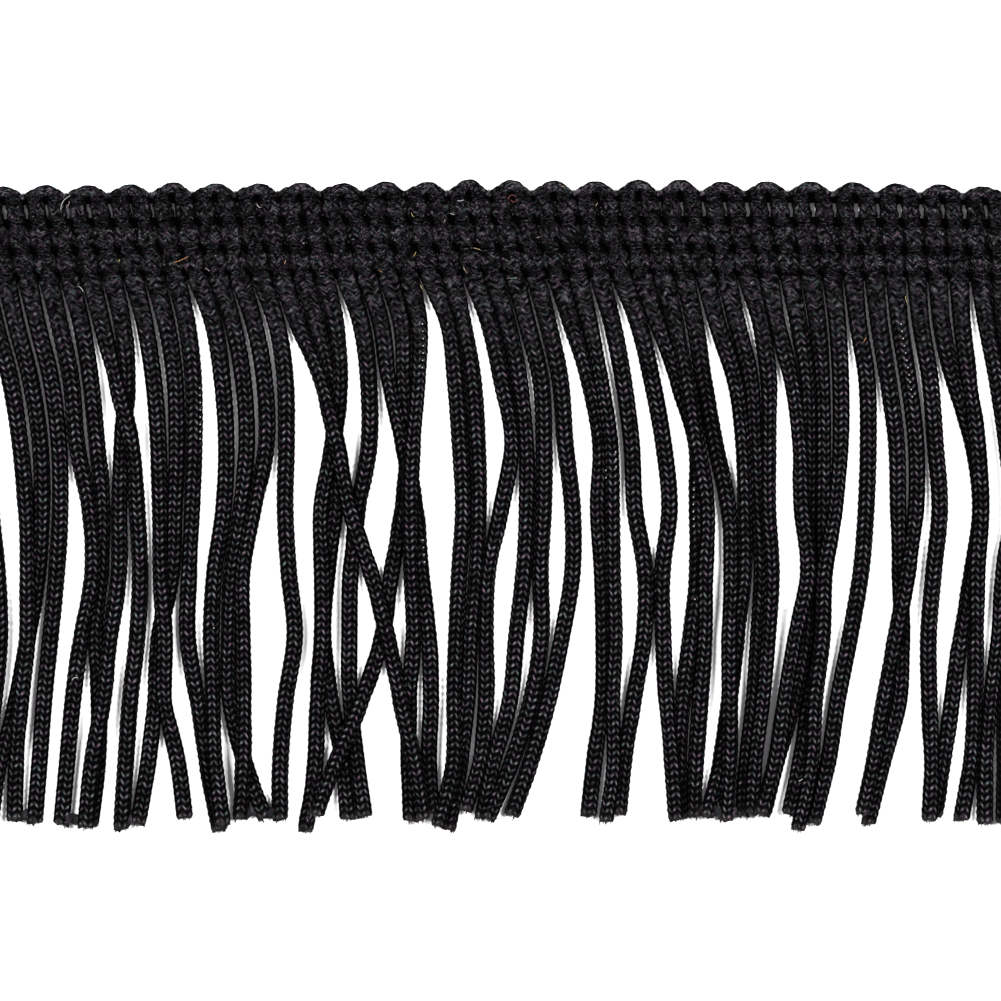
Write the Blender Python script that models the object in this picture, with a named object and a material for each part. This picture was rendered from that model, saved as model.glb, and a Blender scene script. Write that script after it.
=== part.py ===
"""Chainette fringe: a stitched heading with picots, and the strands that hang from it.

It lies face up on a level surface: +X along the heading, +Y towards the picots, +Z up.
Lengths below are in millimetres; "depth" is the distance below the heading's lower edge.
"""
import bpy
import bmesh
from math import cos, pi, sin, sqrt

MM = 0.001
CORDS = 52
PITCH = 2.65
FIRST_ROOT = -67.2
ROOT_LINE_Y = 27.85
BOW = 0.5
BOW_HALF_LENGTH = 63.0

# Heading: heights are above its lower edge.
ROW_HEIGHTS = (0.85, 4.05, 7.5, 10.5)
ROW_HALF = 0.42
PLUMP_HEIGHTS = (2.4, 5.8, 9.0)
PICOT_VALLEY = 11.2
PICOT_RISE = 1.15
PICOT_PEAK_AT = 0.6
SLANT_LEFT = 0.18
SLANT_RIGHT = 0.06
CORD_STEPS = 3

# Thickness of the heading over the middle of a cord and between two cords.
PLUMP = (1.9, 1.0)
PINCHED = (1.35, 0.85)
STITCHED = (1.75, 0.85)
EDGE = (1.1, 0.9)

# Strands.
STRAND_WIDTH = 1.7
STRAND_HEIGHT = 1.25
STRIP_GAP = 0.3
STRIP_WIDTH = 1.3
STRIP_HEIGHT = 1.5
ROOT_LIFT = 0.12
CLEAR_WIDTH = 1.76
CLEAR_HEIGHT = 0.15
RAMP = 0.3
SAMPLE_DEPTHS = (2.9, 5.0, 8.5, 12.0, 16.0, 20.0, 24.0, 28.0, 32.0, 36.0, 40.0, 44.0, 48.0, 52.0, 56.0, 60.0, 63.5)

# A row for each strand, from the left. x5 to x60: its sideways place at that depth.
# tip_x and tip: the place and depth of its cut end. pile: 0 for a strand that lies under those it meets.
STATIONS = (5.0, 12.0, 20.0, 28.0, 36.0, 44.0, 52.0, 60.0)
COLUMNS = ("x5", "x12", "x20", "x28", "x36", "x44", "x52", "x60", "tip_x", "tip", "pile")
ROUTES = (
    (-65.70, -64.60, -63.90, -63.50, -62.80, -62.40, -63.30, -64.40, -65.3, 67.2, 0),
    (-62.90, -61.10, -60.05, -59.30, -59.15, -59.20, -59.90, -60.60, -60.8, 67.0, 1),
    (-60.35, -58.90, -57.85, -57.35, -57.75, -59.10, -60.90, -62.50, -63.3, 66.8, 0),
    (-57.80, -56.15, -55.05, -55.10, -55.55, -56.20, -57.10, -57.70, -58.3, 67.4, 0),
    (-55.05, -53.75, -52.70, -51.40, -50.95, -52.30, -53.40, -54.05, -54.6, 67.6, 1),
    (-52.35, -51.30, -50.45, -49.70, -50.00, -50.70, -50.25, -50.35, -51.2, 67.6, 0),
    (-49.80, -48.10, -46.10, -45.45, -45.00, -45.15, -46.15, -46.80, -47.4, 68.1, 2),
    (-47.35, -46.75, -47.20, -47.85, -48.15, -48.90, -49.90, -50.95, -52.3, 67.9, 1),
    (-44.40, -43.25, -42.50, -42.30, -42.40, -42.35, -42.00, -40.20, -39.5, 66.8, 1),
    (-41.50, -40.75, -40.50, -40.70, -41.00, -42.10, -42.80, -43.85, -45.0, 67.5, 0),
    (-39.30, -38.65, -38.50, -38.70, -38.95, -38.95, -37.90, -36.75, -35.3, 68.3, 0),
    (-35.75, -34.75, -34.30, -34.50, -35.25, -36.05, -36.10, -35.55, -34.4, 67.5, 1),
    (-33.40, -32.25, -31.95, -32.55, -33.75, -34.05, -33.85, -32.30, -29.7, 66.7, 0),
    (-30.80, -29.60, -29.35, -30.85, -32.10, -32.20, -32.10, -32.25, -32.5, 66.9, 1),
    (-27.90, -26.80, -26.80, -26.85, -26.55, -25.90, -26.90, -27.40, -27.4, 67.0, 0),
    (-25.20, -22.20, -20.35, -18.45, -16.25, -14.20, -12.50, -10.75, -9.7, 66.9, 5),
    (-22.85, -21.40, -20.80, -20.90, -21.40, -22.00, -21.15, -19.75, -19.1, 66.9, 0),
    (-20.50, -20.10, -21.10, -22.40, -22.30, -22.30, -22.90, -23.20, -24.4, 68.3, 1),
    (-17.35, -16.35, -16.50, -17.75, -18.70, -19.05, -18.85, -17.85, -17.0, 66.6, 0),
    (-14.85, -13.85, -12.30, -10.70, -9.85, -8.95, -8.80, -8.80, -8.4, 66.2, 3),
    (-12.25, -12.10, -11.70, -12.30, -13.50, -14.90, -17.35, -20.65, -23.1, 66.3, 2),
    (-10.20, -10.40, -11.15, -11.30, -11.35, -11.15, -11.30, -11.40, -11.3, 67.1, 4),
    (-6.60, -5.50, -4.90, -4.70, -5.15, -5.60, -5.85, -5.90, -7.9, 67.7, 4),
    (-4.50, -3.55, -3.05, -2.80, -3.05, -3.70, -4.05, -4.95, -6.5, 68.2, 0),
    (-1.30, 0.15, 1.50, 0.15, -1.25, -1.80, -1.90, -2.80, -4.4, 66.0, 0),
    (0.90, 2.35, 3.25, 3.30, 2.90, 2.00, 1.20, -0.90, -2.4, 66.8, 1),
    (3.50, 5.05, 5.45, 5.30, 5.00, 5.05, 3.85, 1.35, -1.3, 66.8, 2),
    (6.00, 7.45, 8.10, 9.05, 8.90, 7.70, 6.00, 3.70, 1.5, 66.4, 0),
    (9.10, 11.00, 12.15, 12.30, 12.60, 12.70, 12.60, 11.75, 10.9, 66.4, 0),
    (11.15, 12.60, 13.95, 14.00, 14.10, 14.35, 14.20, 13.90, 13.2, 67.2, 1),
    (14.05, 15.35, 16.30, 16.80, 18.10, 18.10, 16.65, 15.70, 15.3, 66.2, 0),
    (17.25, 18.85, 20.30, 21.00, 20.25, 20.30, 20.80, 21.35, 21.8, 67.0, 1),
    (19.65, 22.10, 24.15, 24.65, 24.50, 23.85, 22.95, 22.40, 22.5, 66.8, 0),
    (21.90, 23.55, 24.80, 25.65, 25.75, 25.55, 25.00, 24.45, 24.0, 66.6, 1),
    (24.40, 25.40, 26.95, 28.40, 28.70, 28.50, 28.55, 28.60, 28.2, 67.0, 2),
    (27.05, 29.25, 30.30, 30.55, 30.55, 29.80, 28.70, 27.35, 26.0, 66.5, 1),
    (29.60, 31.35, 31.90, 32.25, 32.85, 32.10, 31.45, 30.70, 30.3, 66.5, 0),
    (32.60, 33.50, 33.55, 33.50, 33.80, 33.45, 32.90, 32.00, 31.7, 66.3, 1),
    (34.80, 36.70, 37.30, 37.80, 38.10, 36.90, 35.50, 34.30, 32.9, 66.1, 1),
    (37.45, 38.35, 38.60, 38.50, 38.40, 38.30, 36.80, 34.45, 33.2, 66.3, 0),
    (39.70, 40.30, 40.45, 40.35, 40.25, 40.10, 38.65, 37.25, 35.9, 66.0, 0),
    (42.25, 42.50, 42.40, 41.80, 40.50, 40.10, 39.15, 38.85, 37.4, 68.2, 1),
    (44.95, 45.75, 45.95, 45.75, 45.00, 43.80, 42.25, 40.95, 39.5, 67.4, 0),
    (47.50, 48.40, 49.45, 49.75, 49.95, 50.30, 49.75, 48.00, 46.1, 67.5, 0),
    (50.05, 50.95, 52.00, 51.80, 50.90, 49.40, 47.90, 46.50, 45.3, 66.2, 1),
    (52.80, 53.65, 54.40, 54.70, 54.20, 53.55, 53.65, 53.90, 53.6, 67.0, 1),
    (55.50, 56.70, 58.85, 59.75, 59.00, 57.55, 56.55, 55.40, 54.4, 66.5, 0),
    (57.75, 58.50, 59.60, 59.85, 59.65, 59.60, 59.35, 58.65, 57.7, 67.0, 1),
    (60.75, 61.95, 63.20, 63.50, 62.65, 62.10, 61.30, 61.05, 60.9, 67.4, 1),
    (63.00, 64.20, 65.10, 65.60, 65.20, 64.20, 63.20, 63.10, 63.0, 67.3, 0),
    (66.30, 67.10, 67.45, 67.50, 67.40, 67.10, 66.50, 66.10, 65.8, 66.8, 0),
    (68.90, 69.30, 69.50, 69.60, 69.40, 69.20, 68.90, 68.40, 68.0, 67.2, 0),
)


def clear_scene():
    for obj in list(bpy.data.objects):
        bpy.data.objects.remove(obj)


def make_collection(name):
    collection = bpy.data.collections.new(name)
    bpy.context.scene.collection.children.link(collection)
    return collection


def yarn_material(name, grey):
    material = bpy.data.materials.new(name)
    material.use_nodes = True
    shader = material.node_tree.nodes["Principled BSDF"]
    shader.inputs["Base Color"].default_value = (grey, grey, grey * 1.05, 1.0)
    shader.inputs["Roughness"].default_value = 0.75
    shader.inputs["Metallic"].default_value = 0.0
    material.diffuse_color = (grey, grey, grey * 1.05, 1.0)
    return material


def bow(x):
    """How far the heading's lower edge rises at x, as the band curves gently."""
    return BOW * (1.0 - (x / BOW_HALF_LENGTH) ** 2)


def slant(x):
    """Sideways lean of the cords inside the heading, per unit of height."""
    share = min(max((x - 10.0) / 50.0, 0.0), 1.0)
    return SLANT_LEFT + (SLANT_RIGHT - SLANT_LEFT) * share


def point(x, height, z):
    return (x * MM, (ROOT_LINE_Y + height) * MM, z * MM)


# Heading

def picot_edge(turn):
    """Height of the top edge at a share of the way across one picot."""
    if turn < PICOT_PEAK_AT:
        rise = sin(pi / 2 * turn / PICOT_PEAK_AT)
    else:
        rise = cos(pi / 2 * (turn - PICOT_PEAK_AT) / (1.0 - PICOT_PEAK_AT))
    return PICOT_VALLEY + PICOT_RISE * rise


def heading_rows():
    """Height and thickness pair of each row of the heading's face, from the lower edge up."""
    rows = [(0.0, EDGE)]
    for height in ROW_HEIGHTS:
        rows.append((height - ROW_HALF, PINCHED))
        rows.append((height, STITCHED))
        rows.append((height + ROW_HALF, PINCHED))
    for height in PLUMP_HEIGHTS:
        rows.append((height, PLUMP))
    return sorted(rows)


def heading_point(column, row, rows):
    across = column / CORD_STEPS
    x = FIRST_ROOT + (across - 0.5) * PITCH
    on_cord = column % CORD_STEPS != 0
    top = picot_edge((across % 2) / 2)
    last = rows[-1][0]
    if row < len(rows):
        height, pair = rows[row]
    elif row == len(rows):
        height, pair = (last + top) / 2, PLUMP
    else:
        height, pair = top, EDGE
    thickness = pair[0] if on_cord else pair[1]
    lean = slant(x) * (height - ROW_HEIGHTS[0])
    return point(x - lean, height + bow(x), thickness)


def make_heading(collection, material):
    rows = heading_rows()
    columns = CORDS * CORD_STEPS
    steps = len(rows) + 1
    bm = bmesh.new()
    bmesh.ops.create_grid(bm, x_segments=columns, y_segments=steps, size=1.0)
    for vert in bm.verts:
        column = round((vert.co.x + 1.0) / 2 * columns)
        row = round((vert.co.y + 1.0) / 2 * steps)
        vert.co = heading_point(column, row, rows)
    rim = [edge for edge in bm.edges if edge.is_boundary]
    lowered = bmesh.ops.extrude_edge_only(bm, edges=rim)["geom"]
    for item in lowered:
        if isinstance(item, bmesh.types.BMVert):
            item.co.z = 0.0
    open_edges = [edge for edge in bm.edges if edge.is_boundary]
    bmesh.ops.holes_fill(bm, edges=open_edges, sides=0)
    bmesh.ops.recalc_face_normals(bm, faces=bm.faces)
    return finish_mesh(bm, "heading", collection, material)


def finish_mesh(bm, name, collection, material):
    mesh = bpy.data.meshes.new(name)
    bm.to_mesh(mesh)
    bm.free()
    mesh.materials.append(material)
    mesh.shade_smooth()
    mesh.set_sharp_from_angle(angle=0.7)
    obj = bpy.data.objects.new(name, mesh)
    collection.objects.link(obj)
    return obj


# Strands

def root_place(strand):
    return FIRST_ROOT + strand * PITCH


def smooth_place(depths, places, depth):
    """Place at a depth on a smooth curve through the given places."""
    last = len(depths) - 1
    index = 0
    while index < last - 1 and depth > depths[index + 1]:
        index += 1
    slopes = []
    for i in (index, index + 1):
        low = max(i - 1, 0)
        high = min(i + 1, last)
        slopes.append((places[high] - places[low]) / (depths[high] - depths[low]))
    step = depths[index + 1] - depths[index]
    t = (depth - depths[index]) / step
    start = places[index] * (1 + 2 * t) * (1 - t) ** 2 + slopes[0] * step * t * (1 - t) ** 2
    end = places[index + 1] * t * t * (3 - 2 * t) + slopes[1] * step * t * t * (t - 1)
    return start + end


def strand_route(strand):
    """Depths and sideways places of one strand, from inside the strip to its cut end."""
    row = dict(zip(COLUMNS, ROUTES[strand]))
    root = root_place(strand)
    depths = (0.0,) + STATIONS + (row["tip"],)
    places = (root,) + ROUTES[strand][:len(STATIONS)] + (row["tip_x"],)
    start = STRIP_GAP + STRIP_WIDTH * 0.5 - bow(root)
    stops = (start,) + SAMPLE_DEPTHS + (row["tip"],)
    return [(depth, smooth_place(depths, places, depth)) for depth in stops]


def nearest_pass(first, second, index):
    """Least sideways distance of two strands between one sample and the next."""
    before = first[index][1] - second[index][1]
    after = first[index + 1][1] - second[index + 1][1]
    if before * after <= 0:
        return 0.0
    return min(abs(before), abs(after))


def ramp_down(route, lifts):
    """Lifts with a gentle slope on both sides of each raised place."""
    eased = []
    for depth, _ in route:
        reach = [lift - RAMP * abs(other[0] - depth) for other, lift in zip(route, lifts)]
        eased.append(max(reach))
    return eased


def strand_lifts(routes):
    """Height of each strand's underside: on the surface, or over the strands it crosses."""
    order = sorted(range(CORDS), key=lambda k: (ROUTES[k][-1], k))
    lifts = {}
    for upper in order:
        raised = [0.0] * len(routes[upper])
        raised[0] = ROOT_LIFT
        for lower in lifts:
            for i in range(len(raised) - 1):
                if nearest_pass(routes[upper], routes[lower], i) < CLEAR_WIDTH:
                    for j in (i, i + 1):
                        over = lifts[lower][j] + STRAND_HEIGHT + CLEAR_HEIGHT
                        raised[j] = max(raised[j], over)
        lifts[upper] = ramp_down(routes[upper], raised)
    return lifts


def four_sided_curve(name, width):
    """A curve that sweeps a square section with one side flat underneath."""
    curve = bpy.data.curves.new(name, "CURVE")
    curve.dimensions = "3D"
    curve.twist_mode = "Z_UP"
    curve.bevel_depth = width / sqrt(2.0) * MM
    curve.bevel_resolution = 0
    curve.use_fill_caps = True
    curve.resolution_u = 1
    curve.render_resolution_u = 0
    return curve


def add_path(curve, points):
    spline = curve.splines.new("POLY")
    spline.points.add(len(points) - 1)
    for target, place in zip(spline.points, points):
        target.co = (place[0], place[1], place[2], 1.0)
        target.tilt = pi / 4


def sweep_mesh(curve, flatten):
    """The curve's mesh, welded, with its height scaled."""
    holder = bpy.data.objects.new(curve.name, curve)
    mesh = bpy.data.meshes.new_from_object(holder)
    bpy.data.objects.remove(holder)
    bm = bmesh.new()
    bm.from_mesh(mesh)
    bmesh.ops.remove_doubles(bm, verts=bm.verts, dist=1e-6)
    bmesh.ops.scale(bm, vec=(1.0, 1.0, flatten), verts=bm.verts)
    bmesh.ops.recalc_face_normals(bm, faces=bm.faces)
    return bm


def make_strip(collection, material):
    """The narrow strip that the strands' roots are fused into."""
    curve = four_sided_curve("strip_path", STRIP_WIDTH)
    flatten = STRIP_HEIGHT / STRIP_WIDTH
    points = []
    for step in range(14):
        x = FIRST_ROOT - PITCH / 2 + step * CORDS * PITCH / 13
        middle = STRIP_GAP + STRIP_WIDTH / 2 - bow(x)
        points.append(point(x, -middle, STRIP_HEIGHT / 2 / flatten))
    add_path(curve, points)
    strip = finish_mesh(sweep_mesh(curve, flatten), "strip", collection, material)
    strip.hide_render = True
    strip.display_type = "WIRE"
    return strip


def make_strands(collection, helpers, material):
    routes = [strand_route(strand) for strand in range(CORDS)]
    lifts = strand_lifts(routes)
    curve = four_sided_curve("strand_paths", STRAND_WIDTH)
    flatten = STRAND_HEIGHT / STRAND_WIDTH
    for strand in range(CORDS):
        points = []
        for (depth, x), lift in zip(routes[strand], lifts[strand]):
            points.append(point(x, -depth, (lift + STRAND_HEIGHT / 2) / flatten))
        add_path(curve, points)
    strands = finish_mesh(sweep_mesh(curve, flatten), "strands", collection, material)
    join = strands.modifiers.new("roots", "BOOLEAN")
    join.operation = "UNION"
    join.solver = "EXACT"
    join.object = make_strip(helpers, material)
    return strands


def main():
    clear_scene()
    fringe = make_collection("chainette_fringe")
    helpers = make_collection("cutters")
    make_heading(fringe, yarn_material("heading_yarn", 0.012))
    make_strands(fringe, helpers, yarn_material("strand_yarn", 0.012))


main()
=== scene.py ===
"""Looks of the chainette fringe: knitted cords, rows of chain stitching, cut ends, loose fibres and painted
glints.

Sizes are in millimetres until a mesh is made; "depth" is the distance below the heading's
lower edge and "height" the distance above it.
"""

from math import pi

import bpy
import numpy as np
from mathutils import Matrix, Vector


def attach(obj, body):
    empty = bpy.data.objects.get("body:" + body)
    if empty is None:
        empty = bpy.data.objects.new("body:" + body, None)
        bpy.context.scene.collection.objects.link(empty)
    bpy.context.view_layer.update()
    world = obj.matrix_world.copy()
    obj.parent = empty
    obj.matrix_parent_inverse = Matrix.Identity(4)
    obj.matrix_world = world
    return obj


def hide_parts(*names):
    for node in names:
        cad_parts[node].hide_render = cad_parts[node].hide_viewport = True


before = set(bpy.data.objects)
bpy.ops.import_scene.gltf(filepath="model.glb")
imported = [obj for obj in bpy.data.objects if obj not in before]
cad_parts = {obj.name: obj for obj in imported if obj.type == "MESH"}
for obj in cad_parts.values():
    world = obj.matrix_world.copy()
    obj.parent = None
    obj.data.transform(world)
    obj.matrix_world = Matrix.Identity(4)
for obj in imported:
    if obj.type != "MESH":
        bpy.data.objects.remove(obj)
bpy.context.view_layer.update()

MM = 0.001
CORDS = 52
PITCH = 2.65
FIRST_ROOT = -67.2
ROOT_LINE_Y = 27.85
BOW = 0.5
BOW_HALF_LENGTH = 63.0
STRAND_PIECES = 4
SAMPLE = 0.1

# Heading
ROW_HEIGHTS = (0.85, 4.05, 7.5, 10.5)
SLANT_LEFT = 0.18
SLANT_RIGHT = 0.075
SLANT_TURN = 25.0
SLANT_TURN_LENGTH = 30.0
ARCH_START = 10.6

# Picots, from the left: the rise of each and how far its top leans right.
PICOTS = (
    (0.90, 0.15), (0.88, 0.20), (0.98, 0.15), (0.88, 0.16), (0.93, 0.18), (1.12, 0.20), (0.94, 0.30),
    (0.88, 0.38), (0.94, 0.30), (0.85, 0.36), (1.04, 0.32), (0.97, 0.25), (1.28, 0.10), (1.20, 0.09),
    (1.12, 0.14), (1.06, 0.00), (1.27, 0.06), (1.30, -0.02), (1.10, -0.22), (1.17, -0.12), (1.20, -0.16),
    (1.18, -0.30), (1.08, -0.44), (1.05, -0.42), (0.86, -0.38), (0.70, -0.30),
)

# How far a picot's sides draw in, and the valleys' shift and rise, at places along the heading.
PINCH_PLACES = (-5.0, 15.0)
PINCHES = (0.22, 0.13)
VALLEY_PLACES = (-62.0, 2.0, 40.0, 55.0, 62.0)
VALLEY_SHIFTS = (0.02, 0.04, 0.09, 0.09, 0.06)
VALLEY_FLOORS = (0.23, 0.23, 0.36, 0.33, 0.27)

# A row for each strand, from the left. x5 to x60: its sideways place at that depth.
# tip_x and tip: the place and depth of its cut end. pile: its order where strands cross, 0 the lowest.
STATIONS = (5.0, 12.0, 20.0, 28.0, 36.0, 44.0, 52.0, 60.0)
COLUMNS = ("x5", "x12", "x20", "x28", "x36", "x44", "x52", "x60", "tip_x", "tip", "pile")
ROUTES = (
    (-65.70, -64.60, -63.80, -63.75, -62.95, -62.65, -63.35, -64.40, -65.3, 67.2, 0),
    (-63.20, -61.35, -60.10, -59.40, -59.15, -59.10, -59.90, -60.60, -60.8, 67.0, 1),
    (-60.60, -58.80, -57.60, -57.35, -57.75, -59.10, -60.60, -62.65, -63.60, 66.8, 0),
    (-57.95, -56.25, -55.25, -55.10, -55.55, -56.30, -57.10, -57.70, -58.3, 67.4, 0),
    (-55.20, -53.75, -53.00, -51.50, -50.95, -52.45, -53.50, -54.25, -54.95, 67.6, 1),
    (-52.45, -51.30, -50.50, -49.75, -50.00, -50.70, -50.25, -50.40, -51.30, 67.6, 0),
    (-49.85, -48.10, -46.10, -45.50, -45.10, -45.45, -46.35, -46.90, -47.45, 68.1, 2),
    (-47.30, -46.60, -47.45, -47.70, -47.75, -48.80, -49.65, -51.05, -51.85, 67.9, 1),
    (-44.50, -43.40, -42.80, -42.65, -42.55, -41.95, -42.00, -40.35, -39.5, 66.8, 1),
    (-41.80, -40.75, -40.50, -40.70, -41.00, -42.70, -43.25, -44.10, -45.40, 67.5, 0),
    (-39.25, -38.45, -38.35, -38.60, -38.95, -39.15, -37.95, -36.75, -35.10, 68.3, 0),
    (-35.90, -34.80, -34.30, -34.65, -35.80, -36.20, -36.00, -35.65, -34.70, 67.5, 1),
    (-33.50, -32.20, -31.75, -32.55, -33.75, -34.05, -33.95, -31.95, -29.50, 66.7, 0),
    (-30.80, -29.55, -29.30, -30.80, -32.20, -32.20, -32.10, -32.15, -32.5, 66.9, 1),
    (-28.00, -26.95, -26.80, -26.95, -26.50, -25.75, -26.90, -27.55, -27.60, 67.0, 0),
    (-25.30, -22.45, -20.40, -18.85, -16.25, -14.15, -12.50, -10.75, -9.7, 66.9, 5),
    (-22.95, -21.25, -20.80, -20.60, -21.65, -22.20, -21.15, -19.75, -19.1, 66.9, 0),
    (-20.65, -20.00, -20.95, -22.50, -22.30, -22.30, -22.90, -23.20, -24.4, 68.3, 1),
    (-17.40, -16.50, -16.45, -17.80, -18.75, -18.90, -18.85, -17.85, -17.0, 66.6, 0),
    (-14.95, -14.00, -12.20, -10.60, -9.85, -8.95, -8.70, -8.95, -8.4, 66.2, 3),
    (-12.40, -12.10, -11.55, -12.30, -13.60, -14.80, -17.35, -20.65, -23.1, 66.3, 2),
    (-10.20, -10.30, -10.95, -11.30, -11.20, -10.90, -11.40, -11.50, -11.3, 67.1, 4),
    (-6.60, -5.65, -5.05, -4.70, -5.15, -5.60, -5.85, -5.85, -7.80, 67.7, 4),
    (-4.60, -3.45, -2.90, -2.70, -3.05, -3.70, -4.05, -5.05, -6.5, 68.2, 0),
    (-1.35, 0.15, 1.40, 0.10, -1.50, -1.80, -1.80, -2.65, -4.4, 65.8, 0),
    (0.90, 2.35, 3.25, 3.30, 2.90, 2.00, 1.20, -0.90, -2.4, 66.8, 1),
    (3.35, 5.05, 5.45, 5.40, 5.00, 5.10, 3.85, 1.35, -1.5, 66.8, 2),
    (5.95, 7.45, 8.10, 9.00, 9.00, 7.70, 6.00, 3.70, 1.4, 66.4, 0),
    (8.90, 10.95, 12.40, 12.10, 12.60, 12.80, 12.70, 11.70, 11.00, 66.4, 0),
    (11.15, 12.60, 13.80, 14.00, 14.10, 14.35, 14.05, 14.15, 13.20, 67.2, 1),
    (14.00, 15.35, 16.40, 16.80, 18.10, 17.95, 16.65, 15.50, 14.9, 66.2, 0),
    (17.30, 18.95, 20.40, 21.15, 20.25, 20.35, 20.75, 21.45, 22.00, 67.0, 1),
    (19.70, 22.10, 24.50, 24.50, 24.60, 23.70, 22.85, 22.40, 22.5, 66.8, 0),
    (21.90, 23.30, 24.55, 25.85, 25.60, 25.60, 25.00, 24.45, 24.2, 66.6, 1),
    (24.35, 25.40, 26.85, 28.50, 28.80, 28.60, 28.65, 28.60, 28.2, 67.0, 2),
    (27.15, 29.30, 30.30, 30.55, 30.55, 29.60, 28.65, 27.45, 25.8, 66.5, 1),
    (29.60, 31.35, 31.90, 32.25, 32.60, 32.15, 31.60, 30.70, 30.3, 66.5, 0),
    (32.55, 33.55, 33.55, 33.50, 33.95, 33.50, 32.80, 31.75, 31.30, 66.3, 1),
    (34.65, 36.40, 37.40, 37.65, 38.45, 36.85, 35.50, 34.30, 32.45, 66.1, 1),
    (37.30, 38.35, 38.60, 38.50, 38.40, 38.30, 36.80, 34.45, 32.90, 66.3, 0),
    (39.70, 40.30, 40.45, 40.35, 40.25, 40.10, 38.65, 37.35, 36.05, 66.3, 0),
    (42.15, 42.55, 42.55, 41.90, 40.50, 40.20, 39.25, 38.85, 37.20, 68.2, 1),
    (44.75, 45.85, 46.00, 45.75, 45.10, 43.75, 42.20, 40.95, 39.20, 67.4, 0),
    (47.40, 48.50, 49.55, 49.75, 49.95, 50.25, 49.95, 47.90, 46.00, 67.5, 0),
    (49.95, 51.05, 52.00, 52.00, 50.90, 49.40, 47.95, 46.55, 45.20, 66.2, 1),
    (52.60, 53.75, 54.40, 54.95, 54.20, 53.55, 53.65, 53.90, 53.6, 67.0, 1),
    (55.20, 56.65, 59.10, 60.05, 59.00, 57.60, 56.50, 55.40, 54.30, 66.5, 0),
    (57.75, 58.65, 59.60, 60.05, 59.55, 59.50, 59.30, 58.80, 57.65, 67.0, 1),
    (60.80, 62.10, 63.20, 63.90, 62.95, 62.30, 61.30, 60.70, 60.6, 67.4, 1),
    (63.00, 64.20, 65.10, 65.60, 65.20, 64.20, 63.20, 63.10, 63.0, 67.3, 0),
    (66.30, 67.10, 67.45, 67.50, 67.40, 67.10, 66.50, 66.10, 65.8, 66.8, 0),
    (68.90, 69.30, 69.50, 69.60, 69.40, 69.20, 68.90, 68.40, 68.0, 67.2, 0),
)

# A stitch of the knitted cord: the lean and rise of its two legs across a wale, and the rise along it.
LEANS_ACROSS = (1.0, 0.5, 0.0, 0.5)
RISES_ACROSS = (0.15, 1.0, 0.25, 1.0)
RISES_ALONG = (0.0, 0.42, 1.0, 0.32)

# Knitted cord: wales round it, the height of one stitch, and the relief of a stitch's leg.
STRAND_WALES = 5
HEADING_WALES = 7
PER_WALE = len(RISES_ACROSS)
PER_ROW = len(RISES_ALONG)
STITCH = 0.91
LEG_RELIEF = 0.16
LEG_LEAN = 0.58
FLANK_FLAT = 0.45
FLANK_SHADE = 0.75

# A strand: half its width, its rise over and under its middle, a level of a crossing, and its free ends.
STRAND_HALF = 1.025
STRAND_ABOVE = 0.78
STRAND_BELOW = 0.58
LEVEL = 1.08
CLEAR_WIDTH = 1.76
TOUCHING = 2.2
RAMP = 0.42
TIP_SPARE = 0.6
TWIST_SWING = 0.35
TWIST_LENGTHS = (16.0, 30.0)

# A strand beside others: no neighbour, what counts as its own level, and where one above it darkens it with
# painted shade.
NO_NEIGHBOUR = 9.0
OWN_LEVEL = 0.8
SHADED_WITHIN = 2.9
SHADE_FADE = 0.8
NEIGHBOUR_ROOM = 0.03
MOST_SQUEEZE = 0.1
STRAND_TONE = 1.08
PAINTED_SHADE_TONE = 0.38

# A strand near its root, where the yarn is looser, and at its cut end.
ROOT_FADE = 1.8
ROOT_WIDER = 0.12
ROOT_HIGHER = 0.06
ROOT_LIFT = 0.2
LOOSE_YARN = 0.82
LOOSE_DEPTH = 7.0
LOOSE_DARKER = 0.3
UPPER_WIDER = 0.085
UPPER_DEPTH = 15.0
TIP_FADE = 0.6
TIP_WIDER = 0.04
TIP_LOWER = 0.10
CUT_PINCH = 0.14
CUT_FADE = 0.15

# The look of a stitch: loose yarn's random gloss, the flanks' painted shade, and the pale, ragged cut.
LOOSE_SHINE = 0.95
FLANK_FROM = 0.62
FLANK_OVER = 0.34
PALE_FADE = 0.3
PALE_MOST = 0.65
RAGGED = 0.13
CUT_TILT = 0.25

# A cord in the heading: half width and rise between the rows of stitches, and in a row.
FULL_HALF = 1.42
FULL_ABOVE = 0.78
TIGHT_HALF = 0.80
TIGHT_ABOVE = 0.52
HEADING_BELOW = 0.62
HEADING_LEVEL = 0.70
ROUND_SECTION = 2.0
FULL_SECTION = 4.0
ROW_REACH = 0.58
# Painted shade on a heading cord where it dips under a row of stitches.
ROW_PAINTED_SHADE = 0.85
OPEN_NARROWER = 0.62
PLUMP_SPREAD = 0.05
WANDER = 0.07
WANDER_RATE = 1.1
HEADING_RELIEF = 0.75
HEADING_LOOSE = 0.75

# The turn of a picot, and its foot where it leaves the heading.
PICOT_STEPS = 60
PICOT_HALF = 0.74
PICOT_ABOVE = 0.74
PICOT_RELIEF = 0.7
PICOT_LIFT = 0.10
PICOT_LOOSER = 0.1
PICOT_TONES = (0.62, 0.72)
LEAN_POWER = 0.7
RISE_POWER = 0.72
FOOT_TURN = 0.25
FOOT_WIDER = 0.12
FOOT_LOWER = 0.14

# How far the cords stand apart between the two upper rows, at places along the heading.
OPEN_PLACES = (-70.0, -50.0, -40.0, -28.0, 10.0, 19.0, 30.0, 37.0, 43.0, 70.0)
OPEN_SHARES = (0.62, 0.62, 0.42, 0.0, 0.0, 0.42, 0.5, 0.58, 0.62, 0.62)
OPEN_HEIGHTS = (7.95, 8.5, 9.4, 9.9)
OPEN_WINDOW = (0.0, 0.6, 1.15, 0.0)

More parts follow.
